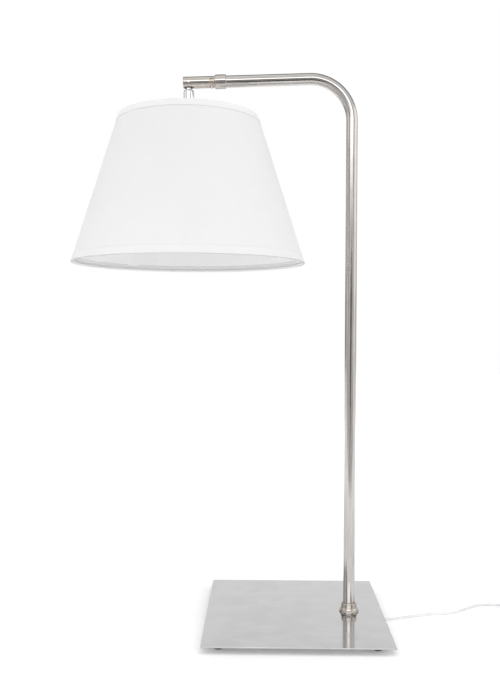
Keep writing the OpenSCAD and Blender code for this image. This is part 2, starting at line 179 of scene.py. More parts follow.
def brushed(name, dark, pale, rough, scale, kind="Object", turn=(0, 0, 0), bump=0.12, cloud=0.22):
    """Metal with fine brush lines. scale is small along the lines and large across them."""
    n = Nodes(name)
    where = n.place(scale, kind, turn)
    lines = n.noise(where, 1.0, 6.0, 0.62)
    clouds = n.noise(n.place((22, 22, 22)), 1.0, 3.0, 0.5)
    fine = n.noise(n.place(tuple(4.3 * s for s in scale), kind, turn), 1.0, 3.0, 0.6)
    both = n.math("ADD", n.math("MULTIPLY", lines, 0.62), n.math("MULTIPLY", fine, 0.38))
    tone = n.ramp(both, 0.34, 0.66, 0.0, 1.0)
    colour = n.mix(tone, dark, pale)
    colour = n.mix(n.ramp(clouds, 0.35, 0.7, 0.0, cloud), colour, tuple(0.86 * c for c in pale))
    roughness = n.math("ADD", n.ramp(both, 0.3, 0.7, rough - 0.03, rough + 0.04), n.ramp(clouds, 0.35, 0.7, -0.01, 0.03))
    return n.finish(
        Base_Color=colour, Metallic=1.0, Roughness=roughness, Normal=n.bump(both, bump, 0.0001)
    )


def plain_metal(name, dark, pale, rough, grain=900.0, bump=0.06):
    """Plated or bright metal with faint stains and pits."""
    n = Nodes(name)
    stains = n.noise(n.place((55, 55, 55)), 1.0, 4.0, 0.6, 0.4)
    pits = n.noise(n.place((grain,) * 3), 1.0, 3.0, 0.6)
    return n.finish(
        Base_Color=n.mix(n.ramp(stains, 0.35, 0.68, 0.0, 1.0), dark, pale),
        Metallic=1.0,
        Roughness=n.ramp(stains, 0.3, 0.7, rough + 0.05, rough - 0.04),
        Normal=n.bump(pits, bump, 0.0001),
    )


def moulded(name, dark, pale, rough, grain=1400.0, bump=0.1, specular=0.5):
    """Moulded plastic, rubber or enamel with a fine grain."""
    n = Nodes(name)
    clouds = n.noise(n.place((70, 70, 70)), 1.0, 3.0, 0.5)
    pits = n.noise(n.place((grain,) * 3), 1.0, 2.0, 0.6)
    return n.finish(
        Base_Color=n.mix(n.ramp(clouds, 0.35, 0.65, 0.0, 1.0), dark, pale),
        Roughness=n.ramp(clouds, 0.3, 0.7, rough - 0.05, rough + 0.06),
        Normal=n.bump(pits, bump, 0.0001),
        Specular_IOR_Level=specular,
    )


def woven(name, dark, pale, thread, through, slub=1.0, painted_shade_bands=()):
    """Fine cloth: a plain weave with uneven threads, and a little light through it. UVs are in metres.
    The bands of v, each (from, to, tone), darken the cloth with painted shade."""
    n = Nodes(name)
    where = n.place((1, 1, 1), "UV")
    split = n.tree.nodes.new("ShaderNodeSeparateXYZ")
    n.tree.links.new(where, split.inputs[0])
    across = n.math("SINE", n.math("MULTIPLY", split.outputs[0], 2 * math.pi / thread))
    up = n.math("SINE", n.math("MULTIPLY", split.outputs[1], 2 * math.pi / thread))
    weave = n.math("MULTIPLY", across, up)
    warp = n.noise(n.place((1100, 26, 1), "UV"), 1.0, 3.0, 0.6)
    weft = n.noise(n.place((20, 1100, 1), "UV"), 1.0, 3.0, 0.6)
    slubs = n.noise(n.place((9, 330, 1), "UV"), 1.0, 4.0, 0.62)
    rise = n.noise(n.place((330, 7, 1), "UV"), 1.0, 4.0, 0.62)
    clouds = n.noise(n.place((14, 14, 1), "UV"), 1.0, 2.0, 0.5)
    threads = n.math("ADD", n.math("MULTIPLY", warp, 0.5), n.math("MULTIPLY", weft, 0.5))
    thick = n.math("ADD", n.ramp(slubs, 0.5, 0.75, 0.0, 0.5), n.ramp(rise, 0.52, 0.78, 0.0, 0.35))
    tone = n.math("ADD", n.ramp(threads, 0.36, 0.64, 0.0, 0.6), n.math("MULTIPLY", thick, 0.7 * slub))
    tone = n.math("ADD", tone, n.ramp(clouds, 0.3, 0.7, -0.08, 0.08))
    tone = n.math("ADD", tone, n.math("MULTIPLY", weave, 0.1))
    tone = n.math("MINIMUM", n.math("MAXIMUM", tone, 0.0), 1.0)
    colour = n.mix(tone, dark, pale)
    for start, end, share in painted_shade_bands:
        # darken the cloth inside each band: painted shade
        inside = n.math("MULTIPLY", n.ramp(split.outputs[1], start - 0.0003, start + 0.0003, 0.0, 1.0), n.ramp(split.outputs[1], end - 0.0003, end + 0.0003, 1.0, 0.0))
        colour = n.mix(inside, colour, n.mix(tone, tuple(share * c for c in dark), tuple(share * c for c in pale)))
    height = n.math("ADD", n.math("MULTIPLY", weave, 0.45), n.math("ADD", threads, n.math("MULTIPLY", thick, slub)))
    normal = n.bump(height, 0.16, 0.0002)
    n.finish(
        Base_Color=colour,
        Roughness=n.ramp(threads, 0.35, 0.65, 0.86, 0.96),
        Normal=normal,
        Specular_IOR_Level=0.08,
    )
    glow = n.tree.nodes.new("ShaderNodeBsdfTranslucent")
    n.tree.links.new(colour, glow.inputs["Color"])
    n.tree.links.new(normal, glow.inputs["Normal"])
    both = n.tree.nodes.new("ShaderNodeMixShader")
    both.inputs[0].default_value = through
    n.tree.links.new(n.bsdf.outputs[0], both.inputs[1])
    n.tree.links.new(glow.outputs[0], both.inputs[2])
    n.tree.links.new(both.outputs[0], n.out.inputs["Surface"])
    return n.material


# ---------------------------------------------------------------- materials
LENGTHWAYS = (9, 420, 1)  # UVs: u along the tube, v round it
M = {
    "plate": brushed("plate_steel", (0.485, 0.482, 0.482), (0.535, 0.532, 0.532), 0.12, (4, 420, 420), bump=0.05, cloud=0.35),
    "tube": brushed("tube_nickel", (0.40, 0.38, 0.365), (0.62, 0.595, 0.575), 0.12, LENGTHWAYS, "UV", bump=0.06),
    "turned": brushed("core_nickel", (0.40, 0.365, 0.33), (0.58, 0.53, 0.485), 0.15, (14, 14, 900), bump=0.08),
    "turned_arm": brushed("nickel", (0.50, 0.465, 0.43), (0.60, 0.56, 0.52), 0.10, (900, 14, 14), bump=0.03),
    "polished": plain_metal("polished_nickel", (0.66, 0.65, 0.635), (0.74, 0.73, 0.715), 0.06, 500, 0.02),
    "core": brushed("core_beige", (0.46, 0.40, 0.34), (0.60, 0.53, 0.46), 0.28, (900, 14, 14), bump=0.1),
    "zinc": plain_metal("zinc", (0.42, 0.42, 0.42), (0.56, 0.56, 0.56), 0.30, 700, 0.14),
    "black_steel": plain_metal("black_steel", (0.05, 0.05, 0.052), (0.09, 0.09, 0.095), 0.36, 900, 0.12),
    "brass_bare": plain_metal("brass_bare", (0.56, 0.43, 0.20), (0.70, 0.56, 0.29), 0.27, 700, 0.1),
    "brass_shell": plain_metal("brass_shell", (0.66, 0.52, 0.27), (0.78, 0.64, 0.36), 0.20, 800, 0.06),
    "bulb_metal": plain_metal("bulb_metal", (0.72, 0.72, 0.70), (0.82, 0.82, 0.80), 0.22, 700, 0.06),
    "rubber": moulded("foot_rubber", (0.018, 0.018, 0.018), (0.034, 0.033, 0.032), 0.62, 1500, 0.25, 0.3),
    "knob": moulded("knob_black", (0.022, 0.021, 0.02), (0.035, 0.034, 0.033), 0.34, 1600, 0.08),
    "tie": moulded("tie_black", (0.02, 0.02, 0.021), (0.045, 0.045, 0.047), 0.7, 2400, 0.5, 0.25),
    "cord": moulded("cord_pvc", (0.68, 0.68, 0.675), (0.75, 0.75, 0.745), 0.34, 1500, 0.08),
    "plug": moulded("plug_pvc", (0.68, 0.68, 0.675), (0.75, 0.75, 0.745), 0.38, 1500, 0.12),
    "white_wire": moulded("white_wire", (0.82, 0.82, 0.81), (0.88, 0.88, 0.87), 0.32, 900, 0.1),
    "lead": moulded("lead_white", (0.76, 0.76, 0.74), (0.84, 0.84, 0.82), 0.42, 1200, 0.1),
    "porcelain": moulded("porcelain", (0.80, 0.78, 0.73), (0.87, 0.85, 0.81), 0.22, 500, 0.05),
    "card": moulded("fibre_card", (0.40, 0.31, 0.21), (0.52, 0.42, 0.30), 0.8, 900, 0.4, 0.2),
    "cloth": woven("shade_cloth", (0.805, 0.803, 0.811), (0.835, 0.833, 0.842), 0.0007, 0.12),
    # the tapes carry painted shade: a painted shadow line along the top tape's lower edge and along the bottom tape's
    # upper edge, painted shade on the bottom tape's underside round the rim (v 15 to 20 mm), and lighter painted shade
    # on its inner side
    "tape": woven("trim_cloth", (0.82, 0.818, 0.826), (0.85, 0.848, 0.857), 0.0006, 0.08, 0.6, [(-1.0, 0.0014, 0.80)]),
    "low_tape": woven("trim_cloth_low_painted_shade", (0.79, 0.788, 0.796), (0.82, 0.818, 0.827), 0.0006, 0.08, 0.6, [(-1.0, 0.0010, 0.93), (0.0150, 0.0200, 0.74), (0.0206, 1.0, 0.93)]),
}


def styrene():
    """White translucent sheet with faint rolling lines."""
    n = Nodes("shade_styrene")
    lines = n.noise(n.place((160, 5, 1), "UV"), 1.0, 4.0, 0.55)
    clouds = n.noise(n.place((18, 18, 1), "UV"), 1.0, 3.0, 0.5)
    colour = n.mix(n.ramp(n.math("ADD", n.math("MULTIPLY", lines, 0.6), n.math("MULTIPLY", clouds, 0.4)), 0.38, 0.62, 0.0, 1.0), (0.94, 0.937, 0.94), (0.965, 0.962, 0.965))
    normal = n.bump(lines, 0.03, 0.0002)
    n.finish(Base_Color=colour, Roughness=n.ramp(clouds, 0.3, 0.7, 0.42, 0.52), Normal=normal, Specular_IOR_Level=0.35)
    glow = n.tree.nodes.new("ShaderNodeBsdfTranslucent")
    n.tree.links.new(colour, glow.inputs["Color"])
    both = n.tree.nodes.new("ShaderNodeMixShader")
    both.inputs[0].default_value = 0.2
    n.tree.links.new(n.bsdf.outputs[0], both.inputs[1])
    n.tree.links.new(glow.outputs[0], both.inputs[2])
    n.tree.links.new(both.outputs[0], n.out.inputs["Surface"])
    return n.material


def frosted():
    """Frosted bulb glass: white inside coating, faint mottle."""
    n = Nodes("bulb_frost")
    mottle = n.noise(n.place((90, 90, 90)), 1.0, 4.0, 0.6)
    return n.finish(
        Base_Color=n.mix(n.ramp(mottle, 0.35, 0.65, 0.0, 1.0), (0.86, 0.86, 0.84), (0.93, 0.93, 0.92)),
        Roughness=n.ramp(mottle, 0.3, 0.7, 0.2, 0.28),
        Normal=n.bump(mottle, 0.03, 0.0002),
        Coat_Weight=0.3,
        Coat_Roughness=0.08,
    )


M["liner"] = styrene()
M["bulb"] = frosted()


# ---------------------------------------------------------------- mesh helpers
def piece(name, points, faces, material, body, uvs=None, sharp=32.0):
    mesh = bpy.data.meshes.new(name)
    mesh.from_pydata([tuple(p) for p in points], [], faces)
    mesh.update()
    if uvs is not None:
        layer = mesh.uv_layers.new(name="surface")
        for loop, uv in zip(layer.data, uvs):
            loop.uv = uv
    mesh.polygons.foreach_set("use_smooth", [True] * len(mesh.polygons))
    mesh.set_sharp_from_angle(angle=math.radians(sharp))
    mesh.materials.append(material)
    o = bpy.data.objects.new(name, mesh)
    scene.collection.objects.link(o)
    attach(o, body)
    return o


def grid(rings, closed_rows, around=True):
    """Faces and UVs for rings of points. rings[i][k] runs round; closed_rows joins the last ring to the first."""
    n, m = len(rings), len(rings[0])
    points = [p for ring in rings for p in ring]
    lengths = [0.0]
    for i in range(1, n + (1 if closed_rows else 0)):
        lengths.append(lengths[-1] + (rings[i % n][0] - rings[i - 1][0]).length)
    girth = [sum((ring[(k + 1) % m] - ring[k]).length for k in range(m)) for ring in rings]
    faces, uvs = [], []
    for i in range(n if closed_rows else n - 1):
        j = (i + 1) % n
        for k in range(m if around else m - 1):
            l = (k + 1) % m
            faces.append((i * m + k, i * m + l, j * m + l, j * m + k))
            g, h = girth[i], girth[j]
            uvs += [
                (lengths[i], g * k / m),
                (lengths[i], g * (k + 1) / m),
                (lengths[i + 1], h * (k + 1) / m),
                (lengths[i + 1], h * k / m),
            ]
    return points, faces, uvs


def rounded(profile, radius, steps=4, closed=True):
    """The profile with each corner turned into a small curve."""
    out, n = [], len(profile)
    for i, (x, y) in enumerate(profile):
        if not closed and i in (0, n - 1):
            out.append((x, y))
            continue
        p = Vector((x, y))
        a, b = Vector(profile[i - 1]) - p, Vector(profile[(i + 1) % n]) - p
        cut = min(radius, 0.45 * a.length, 0.45 * b.length)
        if a.normalized().dot(b.normalized()) < -0.995 or cut < 1e-7:
            out.append((x, y))
            continue
        s, e = p + a.normalized() * cut, p + b.normalized() * cut
        for k in range(steps + 1):
            t = k / steps
            q = s * (1 - t) ** 2 + p * 2 * t * (1 - t) + e * t * t
            out.append((q.x, q.y))
    return out


def lathe(name, profile, material, body, place, segments=96, radius=0.4, sharp=32.0):
    """A closed profile of (r, z) in millimetres, turned about the frame's +Z."""
    shape = rounded(profile, radius)
    rings = []
    for r, z in shape:
        rings.append(
            [
                place @ Vector((r * MM * math.cos(2 * math.pi * k / segments), r * MM * math.sin(2 * math.pi * k / segments), z * MM))
                for k in range(segments)
            ]
        )
    points, faces, uvs = grid(rings, True)
    o = piece(name, points, faces, material, body, uvs, sharp)
    outward(o)
    return o


def outward(o):
    bm = bmesh.new()
    bm.from_mesh(o.data)
    bmesh.ops.recalc_face_normals(bm, faces=bm.faces)
    bm.to_mesh(o.data)
    bm.free()
    o.data.set_sharp_from_angle(angle=math.radians(32))


def swept(name, line, radius, material, body, segments=48, side=Vector((0, 1, 0)), ends=True, hollow=None):
    """A tube along points that lie in one plane; side is square to that plane."""
    rings = []
    for i, p in enumerate(line):
        t = (line[min(i + 1, len(line) - 1)] - line[max(i - 1, 0)]).normalized()
        u = side.cross(t).normalized()
        rings.append(
            [p + radius * (math.cos(2 * math.pi * k / segments) * u + math.sin(2 * math.pi * k / segments) * side) for k in range(segments)]
        )
    if hollow:
        inner = []
        for i, p in enumerate(line):
            c = rings[i]
            inner.append([p + (q - p) * (hollow / radius) for q in c])
        rings = rings + inner[::-1]
    points, faces, uvs = grid(rings, bool(hollow))
    if ends and not hollow:
        m = segments
        faces += [tuple(range(m))[::-1], tuple((len(line) - 1) * m + k for k in range(m))]
        uvs += [(0, 0)] * (2 * m)
    o = piece(name, points, faces, material, body, uvs, 32)
    outward(o)
    return o


def smooth_line(points, step):
    """Catmull-Rom through the points, about step apart, in the points' own unit."""
    out = []
    for i in range(len(points) - 1):
        p0, p1, p2, p3 = points[max(i - 1, 0)], points[i], points[i + 1], points[min(i + 2, len(points) - 1)]
        n = max(1, round((p2 - p1).length / step))
        for k in range(n):
            t = k / n
            out.append(
                0.5 * (2 * p1 + (p2 - p0) * t + (2 * p0 - 5 * p1 + 4 * p2 - p3) * t * t + (3 * p1 - p0 - 3 * p2 + p3) * t**3)
            )
    out.append(points[-1])
    return out


def ease(t):
    t = min(1.0, max(0.0, t))
    return t * t * (3 - 2 * t)


# ---------------------------------------------------------------- supply cord
CORD_R = 2.2
turn = math.radians(-15)
elbow_end = Vector((STEM_X / MM + 34 * math.cos(turn), 34 * math.sin(turn), 3.2))
free = [elbow_end] + [
    Vector(p)
    for p in [
        (281, -11.5, 2.6), (304, -12.6, 2.25), (320, -9.5, 2.25), (337, -4, 2.25), (354, 2, 2.25), (371, 7, 2.25),
        (389, 12.5, 2.25), (406, 16.5, 2.25), (425, 18.5, 2.25), (442, 22.5, 2.25), (459, 31, 2.25), (477, 44, 2.25),
        (494, 57, 2.25), (510, 65, 2.25), (528, 68.5, 2.25), (547, 68, 2.3), (560, 67.6, 2.5), (573, 67.5, 2.7),
    ]
]
route = smooth_line(free, 6.0)
LAYERS, COLUMNS = (2.8, 7.15, 11.5), (30.5, 26.0, 21.5)


def coil_at(angle):
    """Radius and height of the coil after this many degrees from its outer lower turn."""
    # each layer holds three turns; the cord steps sideways over 200..290 degrees and up over 270..360
    col = [0, 1, 2, 2, 1, 0, 0, 1, 2]
    lay = [0, 0, 0, 1, 1, 1, 2, 2, 2]
    turns, part = divmod(angle, 360.0)
    i = int(turns)
    a = min(i, 8)
    b = min(i + 1, 8)
    r0, r1, z0, z1 = COLUMNS[col[a]], COLUMNS[col[b]], LAYERS[lay[a]], LAYERS[lay[b]]
    r = r0 + (r1 - r0) * ease((part - 200) / 90)
    z = z0 + (z1 - z0) * ease((part - 270) / 90)
    return r, z


TAIL_ANGLE = 8 * 360 + 240
bend_r, run, lift_from = 18.34, 9.52, math.radians(90) * COLUMNS[2]
whole = bend_r * math.radians(120)
CLIMB = (20.0 - LAYERS[2]) / (lift_from - 5 + run + whole / 2)  # slope of the tail as it climbs over the top layer
angle = 8.0
while angle <= TAIL_ANGLE:
    r, z = coil_at(angle)
    if angle > TAIL_ANGLE - 90:
        over = math.radians(angle - TAIL_ANGLE + 90) * r
        z = LAYERS[2] + CLIMB * (over * over / 20 if over < 10 else over - 5)
    a = math.radians(angle)
    route.append(Vector((COIL.x + r * math.sin(a), COIL.y + r * math.cos(a), z)))
    angle += 10.0 if angle < TAIL_ANGLE - 45 else 4.0
# the tail runs straight on over the top layer and then bends evenly into the plug
a = math.radians(240)
start = Vector((COIL.x + COLUMNS[2] * math.sin(a), COIL.y + COLUMNS[2] * math.cos(a), 0))
centre = start + Vector((math.cos(a), -math.sin(a), 0)) * run + Vector((-math.sin(a), -math.cos(a), 0)) * bend_r
for k in range(1, 4):
    p = start + Vector((math.cos(a), -math.sin(a), 0)) * run * k / 3
    route.append(Vector((p.x, p.y, LAYERS[2] + CLIMB * (lift_from - 5 + run * k / 3))))
for k in range(1, 15):
    t = math.radians(210 - 120 * k / 14)
    arc = whole * k / 14
    z = LAYERS[2] + CLIMB * (lift_from - 5 + run + arc - arc * arc / (2 * whole))
    route.append(Vector((centre.x + bend_r * math.cos(t), centre.y + bend_r * math.sin(t), z)))
cord_curve = bpy.data.curves.new("supply_lead", "CURVE")
cord_curve.dimensions = "3D"
cord_curve.bevel_depth = CORD_R * MM
cord_curve.bevel_resolution = 5
cord_curve.use_fill_caps = True
spline = cord_curve.splines.new("POLY")
spline.points.add(len(route) - 1)
for point, p in zip(spline.points, route):
    point.co = (p.x * MM, p.y * MM, p.z * MM, 1)
spline.use_smooth = True
cord_curve.materials.append(M["cord"])
lead = bpy.data.objects.new("supply_lead", cord_curve)
scene.collection.objects.link(lead)
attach(lead, "root")
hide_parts("supply_cord", "cord_coil", "cord_tail")


def loft(name, sections, material, body, segments=48, power=2.6):
    """Sections of (x, y, z, half width, half height) in millimetres, joined along +X, with both ends filled."""
    rings = []
    for x, y, z, w, h in sections:
        ring = []
        for k in range(segments):
            a = 2 * math.pi * k / segments
            c, s = math.cos(a), math.sin(a)
            ring.append(
                Vector((x, y + w * math.copysign(abs(c) ** (2 / power), c), z + h * math.copysign(abs(s) ** (2 / power), s))) * MM
            )
        rings.append(ring)
    points, faces, uvs = grid(rings, False)
    m = segments
    faces += [tuple(range(m))[::-1], tuple((len(rings) - 1) * m + k for k in range(m))]
    uvs += [(0, 0)] * (2 * m)
    o = piece(name, points, faces, material, body, uvs, 40)
    outward(o)
    return o


plug_low, plug_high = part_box("plug_body")
px, py, pz = plug_low.x / MM + 6, (plug_low.y + plug_high.y) / 2 / MM, (plug_low.z + plug_high.z) / 2 / MM
sections = []
for k in range(9):  # ribbed strain relief
    x0 = px - 6 + 1.0 * k
    base = 2.75 + 0.2 * k
    sections += [(x0, py, pz, base, base), (x0 + 0.12, py, pz, base + 0.28, base + 0.28), (x0 + 0.55, py, pz, base + 0.3, base + 0.3), (x0 + 0.67, py, pz, base + 0.03, base + 0.03)]
for t, w, h in [(3.0, 7.2, 4.9), (3.5, 8.0, 5.05), (5, 8.9, 5.3), (7, 9.7, 5.6), (9, 10.4, 5.95), (11, 10.9, 6.1), (13, 11.0, 6.15)]:
    sections.append((px + t, py, pz, w, h))
for k in range(5):  # grip ribs
    x0 = px + 13.6 + 1.7 * k
    sections += [(x0, py, pz, 11.0, 6.15), (x0 + 0.25, py, pz, 10.45, 6.0), (x0 + 0.75, py, pz, 10.45, 6.0), (x0 + 1.0, py, pz, 11.0, 6.15)]
for t, w, h in [(22.6, 11.05, 6.18), (24.2, 11.05, 6.18), (24.75, 10.85, 6.0), (24.98, 10.3, 5.5), (25, 9.6, 4.9)]:
    sections.append((px + t, py, pz, w, h))
plug = loft("plug_moulding", sections, M["plug"], "root")
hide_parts("plug_body")

# the strap that holds the coil: a band round its section
tie_low, tie_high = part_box("coil_tie")
ty, tz = (tie_low.y + tie_high.y) / 2 / MM, (tie_low.z + tie_high.z) / 2 / MM
hw, hh = (tie_high.y - tie_low.y) / 2 / MM - 0.05, (tie_high.z - tie_low.z) / 2 / MM - 0.05
band = []
corner = 2.6
for cx, cy, a0 in [(1, 1, 0), (-1, 1, 90), (-1, -1, 180), (1, -1, 270)]:
    for k in range(9):
        a = math.radians(a0 + 90 * k / 8)
        band.append((cx * (hw - corner), cy * (hh - corner), math.cos(a), math.sin(a)))
rings = []
tx = (tie_low.x + tie_high.x) / 2 / MM
for bx, bz, c, s in band:
    outer = Vector((0, ty + bx + corner * c, tz + bz + corner * s))
    inner = Vector((0, ty + bx + (corner - 0.6) * c, tz + bz + (corner - 0.6) * s))
    ring = []
    for q, x in [(outer, -3.8), (outer, 3.8), (outer * 0.8 + inner * 0.2, 4.0), (inner, 4.0), (inner, -4.0), (outer * 0.8 + inner * 0.2, -4.0)]:
        ring.append(Vector((tx + x, q.y, q.z)) * MM)
    rings.append(ring)
points, faces, uvs = grid(rings, True)
strap = piece("coil_strap", points, faces, M["tie"], "root", uvs, 35)
outward(strap)
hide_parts("coil_tie")

# ---------------------------------------------------------------- base
UP_STEM = Matrix.Translation((STEM_X, 0, PLATE_TOP))


def base_plate():
    low, high = plate_low, plate_high
    bm = bmesh.new()
    corners = []
    r = 0.0012
    for cx, cy, a0 in [(1, 1, 0), (0, 1, 90), (0, 0, 180), (1, 0, 270)]:
        x, y = (high.x if cx else low.x), (high.y if cy else low.y)
        x += -r if cx else r
        y += -r if cy else r
        for k in range(5):
            a = math.radians(a0 + 90 * k / 4)
            corners.append((x + r * math.cos(a), y + r * math.sin(a)))
    edge = 0.00035
    mid = Vector(((low.x + high.x) / 2, (low.y + high.y) / 2))
    rings = []
    for inset, z in [(edge, low.z), (edge * 0.3, low.z + edge * 0.3), (0, low.z + edge), (0, high.z - edge), (edge * 0.3, high.z - edge * 0.3), (edge, high.z)]:
        ring = []
        for x, y in corners:
            d = Vector((x, y)) - mid
            ring.append(Vector((x - inset * (1 if d.x > 0 else -1), y - inset * (1 if d.y > 0 else -1), z)))
        rings.append(ring)
    points, faces, uvs = grid(rings, False)
    m = len(corners)
    faces += [tuple(range(m))[::-1], tuple(5 * m + k for k in range(m))]
    uvs += [(0, 0)] * (2 * m)
    o = piece("plate", points, faces, M["plate"], "root", uvs, 32)
    outward(o)
    bm.free()
    # the stem's hole
    cutter_points = []
    for z in (low.z - 0.002, high.z + 0.002):
        for k in range(48):
            a = 2 * math.pi * k / 48
            cutter_points.append((STEM_X + 0.0051 * math.cos(a), 0.0051 * math.sin(a), z))
    cutter = bpy.data.meshes.new("cut")
    cutter.from_pydata(
        cutter_points,
        [],
        [tuple(range(48))[::-1], tuple(range(48, 96))] + [(k, (k + 1) % 48, 48 + (k + 1) % 48, 48 + k) for k in range(48)],
    )
    c = bpy.data.objects.new("cut", cutter)
    scene.collection.objects.link(c)
    mod = o.modifiers.new("hole", "BOOLEAN")
    mod.operation, mod.solver, mod.object = "DIFFERENCE", "EXACT", c
    bake(o)
    bpy.data.objects.remove(c)
    o.data.polygons.foreach_set("use_smooth", [False] * len(o.data.polygons))
    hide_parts("base_plate")
    return o


def bake(o):
    """Applies o's modifiers to its mesh."""
    dg = bpy.context.evaluated_depsgraph_get()
    done = bpy.data.meshes.new_from_object(o.evaluated_get(dg))
    o.modifiers.clear()
    o.data = done


plate = base_plate()
flange = lathe(
    "foot_collar",
    [(11.2, 0), (19, 0), (19, 2.3), (18.3, 3.1), (17.1, 4.2), (16.2, 5.7), (15.7, 7.3), (15.4, 8.5), (14.75, 8.75), (14.75, 9.25), (14.6, 9.6), (14.6, 16.9), (13.5, 18), (11.2, 18)],
    M["turned"], "root", UP_STEM, 128, 0.7,
)
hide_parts("stem_flange")

feet_x = [plate_low.x + 0.030, plate_high.x - 0.030]
feet_y = [plate_low.y + 0.030, plate_high.y - 0.030]
foot_profile = [(2.15, 4.6), (2.15, 11.45), (9.6, 11.45), (10, 10.9), (10, 2.4), (9.7, 1.0), (8.7, 0.02), (5.2, 0.02), (4.5, 0.7), (4.5, 4.6)]
for i, x in enumerate(feet_x):
    for j, y in enumerate(feet_y):
        foot = lathe(f"foot_{i}{j}", foot_profile, M["rubber"], "root", Matrix.Translation((x, y, 0)), 64, 0.5)
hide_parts("plate_feet")

# ---------------------------------------------------------------- stem and arm, one polished run
turn_angle = math.pi / 2 + DROOP
tangent = BEND_R * math.tan(turn_angle / 2)
line = []
z0, z1 = PLATE_TOP + 0.0002, ARM_Z - tangent
for k in range(25):
    line.append(Vector((STEM_X, 0, z0 + (z1 - z0) * k / 24)))
for k in range(1, 49):
    a = turn_angle * k / 48
    line.append(Vector((STEM_X - BEND_R + BEND_R * math.cos(a), 0, ARM_Z - tangent + BEND_R * math.sin(a))))
for k in range(1, 13):
    t = tangent + (ARM_END - tangent) * k / 12
    line.append(Vector((STEM_X - t * math.cos(DROOP), 0, ARM_Z - t * math.sin(DROOP))))
stem = swept("stem_and_arm", line, TUBE_R, M["tube"], "root", 96, Vector((0, 1, 0)), True, 9.95 * MM)
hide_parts("stem_tube", "arm_tube")

collar = lathe(
    "swivel_collar",
    [(11.15, 242.0), (12.5, 242.0), (13.2, 242.5), (13.4, 243.2), (13.4, 262.3), (13.0, 263.1), (12.2, 263.5), (11.15, 263.5)],
    M["turned_arm"], "root", ALONG, 128, 0.5,
)
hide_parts("arm_collar")
cap = lathe(
    "tube_cap",
    [(0.01, 323.2), (11.1, 323.2), (11.1, 324.0), (10.8, 324.5), (10.1, 324.8), (0.01, 324.8)],
    M["turned_arm"], "end_arm", ALONG, 96, 0.3,
)
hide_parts("end_cap")

# ---------------------------------------------------------------- neck
AT_PIVOT = Matrix.Translation((SHADE_X, 0, PIVOT_Z))
cup = lathe(
    "neck_cap",
    [(5.3, -38), (9.1, -38), (9.1, -19), (7.8, -14.7), (5.3, -14.7), (5.3, -14.0), (6.6, -14.0), (8.6, -14.7), (9.8, -16.2), (10.4, -18.2), (10.5, -19.5), (10.5, -38)][::-1],
    M["polished"], "head", AT_PIVOT, 96, 0.5,
)
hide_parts("neck_cup")

# ---------------------------------------------------------------- shade
SEAM = math.radians(129)  # the lap in the cloth and lining, at the back left
SEG = 288


def cone_r(z):
    return TOP_R + SLOPE * (SHADE_TOP - z)


def drum(name, z_low, z_high, inner, outer, material, lap=0.0, rows=36, lift=0.0):
    """A conical layer between two offsets from the shade's outline. lap is the width of its overlap, lift how far that stands out."""
    half = lap / 2
    outside, inside = [], []
    for i in range(rows + 1):
        z = z_low + (z_high - z_low) * i / rows
        ring_o, ring_i = [], []
        for k in range(SEG):
            a = 2 * math.pi * k / SEG + SEAM
            r = cone_r(z)
            rise = 0.0
            if lap:
                s = ((a - SEAM + math.pi) % (2 * math.pi) - math.pi) * r
                rise = lift * ease((half + 0.0012 - abs(s)) / 0.0012)
                rise *= ease((z - z_low - 0.0125) / 0.004) * ease((z_high - 0.0105 - z) / 0.004)
            ro, ri = r - outer + (rise if lift > 0 else 0), r - inner + (rise if lift < 0 else 0)
            ring_o.append(Vector((SHADE_X + ro * math.cos(a), ro * math.sin(a), z)))
            ring_i.append(Vector((SHADE_X + ri * math.cos(a), ri * math.sin(a), z)))
        outside.append(ring_o)
        inside.append(ring_i)
    rings = outside + inside[::-1]
    points = [p for ring in rings for p in ring]
    n, m = len(rings), SEG
    faces, uvs = [], []
    for i in range(n):
        j = (i + 1) % n
        for k in range(m):
            l = (k + 1) % m
            faces.append((i * m + k, i * m + l, j * m + l, j * m + k))
            for q, kk in ((i, k), (i, k + 1), (j, k + 1), (j, k)):
                z = rings[q][0].z
                uvs.append((2 * math.pi * 0.178 * kk / m, z * math.sqrt(1 + SLOPE * SLOPE)))
    o = piece(name, points, faces, material, "head", uvs, 40)
    outward(o)
    return o


